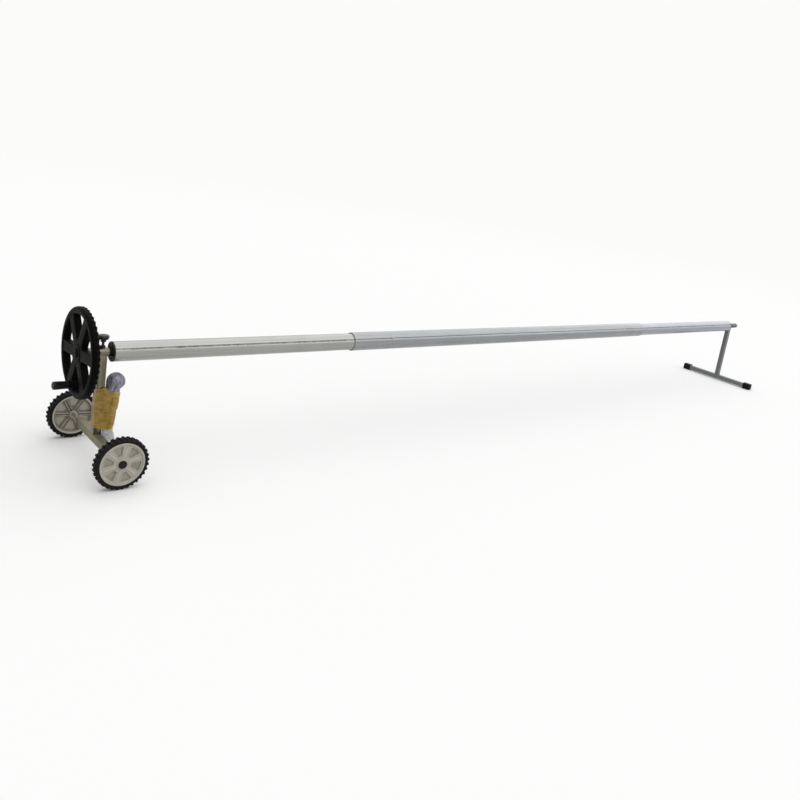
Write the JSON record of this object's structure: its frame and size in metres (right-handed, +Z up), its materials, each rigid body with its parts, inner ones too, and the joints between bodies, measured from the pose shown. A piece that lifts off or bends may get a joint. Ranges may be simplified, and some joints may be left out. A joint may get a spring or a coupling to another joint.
{
  "type": "pool cover reel",
  "caption": "Telescopic roller tube for winding a pool cover, turned by a spoked handwheel on a wheeled stand, with a plain T-shaped stand at its far end",
  "frame": {"origin": "on the floor, under the middle of the reel's whole box", "axes": "+X along the roller from the handwheel to the idler stand, +Y along the wheels' axle away from the picture's viewer, +Z up"},
  "size_m": [4.9888, 0.5606, 0.5957],
  "materials": {
    "anodised_aluminium": "satin anodised",
    "stainless_steel": "polished stainless",
    "grey_steel_tube": "satin grey",
    "zinc_plated_steel": "zinc plated",
    "black_steel": "black oxide",
    "black_plastic": "fine grained",
    "dark_nylon": "matte",
    "warm_grey_plastic": "satin",
    "black_tyre": "matte",
    "black_rubber": "matte",
    "grey_violet_bundle": "folded film over the rolled kit",
    "brown_packing_tape": "satin tape",
    "clear_film": "thin plastic film"
  },
  "bodies": {
    "drive_stand": {"left_post": "stainless_steel", "left_sleeve": "stainless_steel", "left_bush_inner": "dark_nylon", "left_bush_outer": "dark_nylon", "lock_nut": "black_steel", "crossbar": "stainless_steel", "crossbar_plug_front": "dark_nylon", "crossbar_plug_rear": "dark_nylon", "wheel_axle": "stainless_steel", "axle_ring_front_inner": "zinc_plated_steel", "axle_ring_front_outer": "zinc_plated_steel", "axle_ring_rear_inner": "zinc_plated_steel", "axle_ring_rear_outer": "zinc_plated_steel", "kit_roll": "grey_violet_bundle", "kit_wrap": "brown_packing_tape", "kit_film": "clear_film"},
    "locking_knob": {"lock_screw": "black_steel", "lock_knob": "black_plastic"},
    "wheel_front": {"wheel_rim_front": "warm_grey_plastic", "tyre_front": "black_tyre", "hub_cap_front": "black_plastic"},
    "wheel_rear": {"wheel_rim_rear": "warm_grey_plastic", "tyre_rear": "black_tyre", "hub_cap_rear": "black_plastic"},
    "roller_drive": {"drive_axle": "stainless_steel", "handwheel": "black_plastic", "handwheel_bolt": "zinc_plated_steel", "handwheel_cap": "black_plastic", "grip_bolt": "zinc_plated_steel", "grip_nut": "zinc_plated_steel", "tube_left": "anodised_aluminium", "tube_plug_left": "dark_nylon"},
    "grip": {"crank_grip": "black_plastic"},
    "middle_section": {"tube_middle": "anodised_aluminium", "guide_bush_left": "dark_nylon", "guide_bush_right": "dark_nylon", "section_screw_left": "zinc_plated_steel", "section_screw_right": "zinc_plated_steel"},
    "far_section": {"tube_right": "anodised_aluminium", "tube_plug_right": "dark_nylon", "idler_axle": "stainless_steel", "axle_collar": "zinc_plated_steel"},
    "idler_stand": {"right_post": "grey_steel_tube", "right_sleeve": "grey_steel_tube", "right_bush_inner": "dark_nylon", "right_bush_outer": "dark_nylon", "foot_bar": "grey_steel_tube", "foot_cap_front": "black_rubber", "foot_cap_rear": "black_rubber"}
  },
  "joints": [
    {"name": "roller_spin", "type": "hinge", "parent": "drive_stand", "child": "roller_drive", "pos_m": [-2.3421, 0, 0.428], "axis": [1, 0, 0], "continuous": true},
    {"name": "grip_spin", "type": "hinge", "parent": "roller_drive", "child": "grip", "pos_m": [-2.4659, 0.04064, 0.29507], "axis": [1, 0, 0], "continuous": true},
    {"name": "middle_slide", "type": "slide", "parent": "roller_drive", "child": "middle_section", "axis": [1, 0, 0], "range_m": [-0.8, 0.1]},
    {"name": "far_slide", "type": "slide", "parent": "middle_section", "child": "far_section", "axis": [1, 0, 0], "range_m": [-0.93, 0.02]},
    {"name": "idler_spin", "type": "hinge", "parent": "far_section", "child": "idler_stand", "pos_m": [2.3834, 0, 0.428], "axis": [1, 0, 0], "continuous": true},
    {"name": "wheel_front_spin", "type": "hinge", "parent": "drive_stand", "child": "wheel_front", "pos_m": [-2.3421, -0.257, 0.096], "axis": [0, 1, 0], "continuous": true},
    {"name": "wheel_rear_spin", "type": "hinge", "parent": "drive_stand", "child": "wheel_rear", "pos_m": [-2.3421, 0.257, 0.096], "axis": [0, 1, 0], "continuous": true},
    {"name": "knob_turn", "type": "hinge", "parent": "drive_stand", "child": "locking_knob", "pos_m": [-2.3421, 0, 0.48], "axis": [0, 0, 1], "range_deg": [0, 720]}
  ],
  "couplings": [
    {"joint": "idler_spin", "follows": "roller_spin", "ratio": -1}
  ]
}
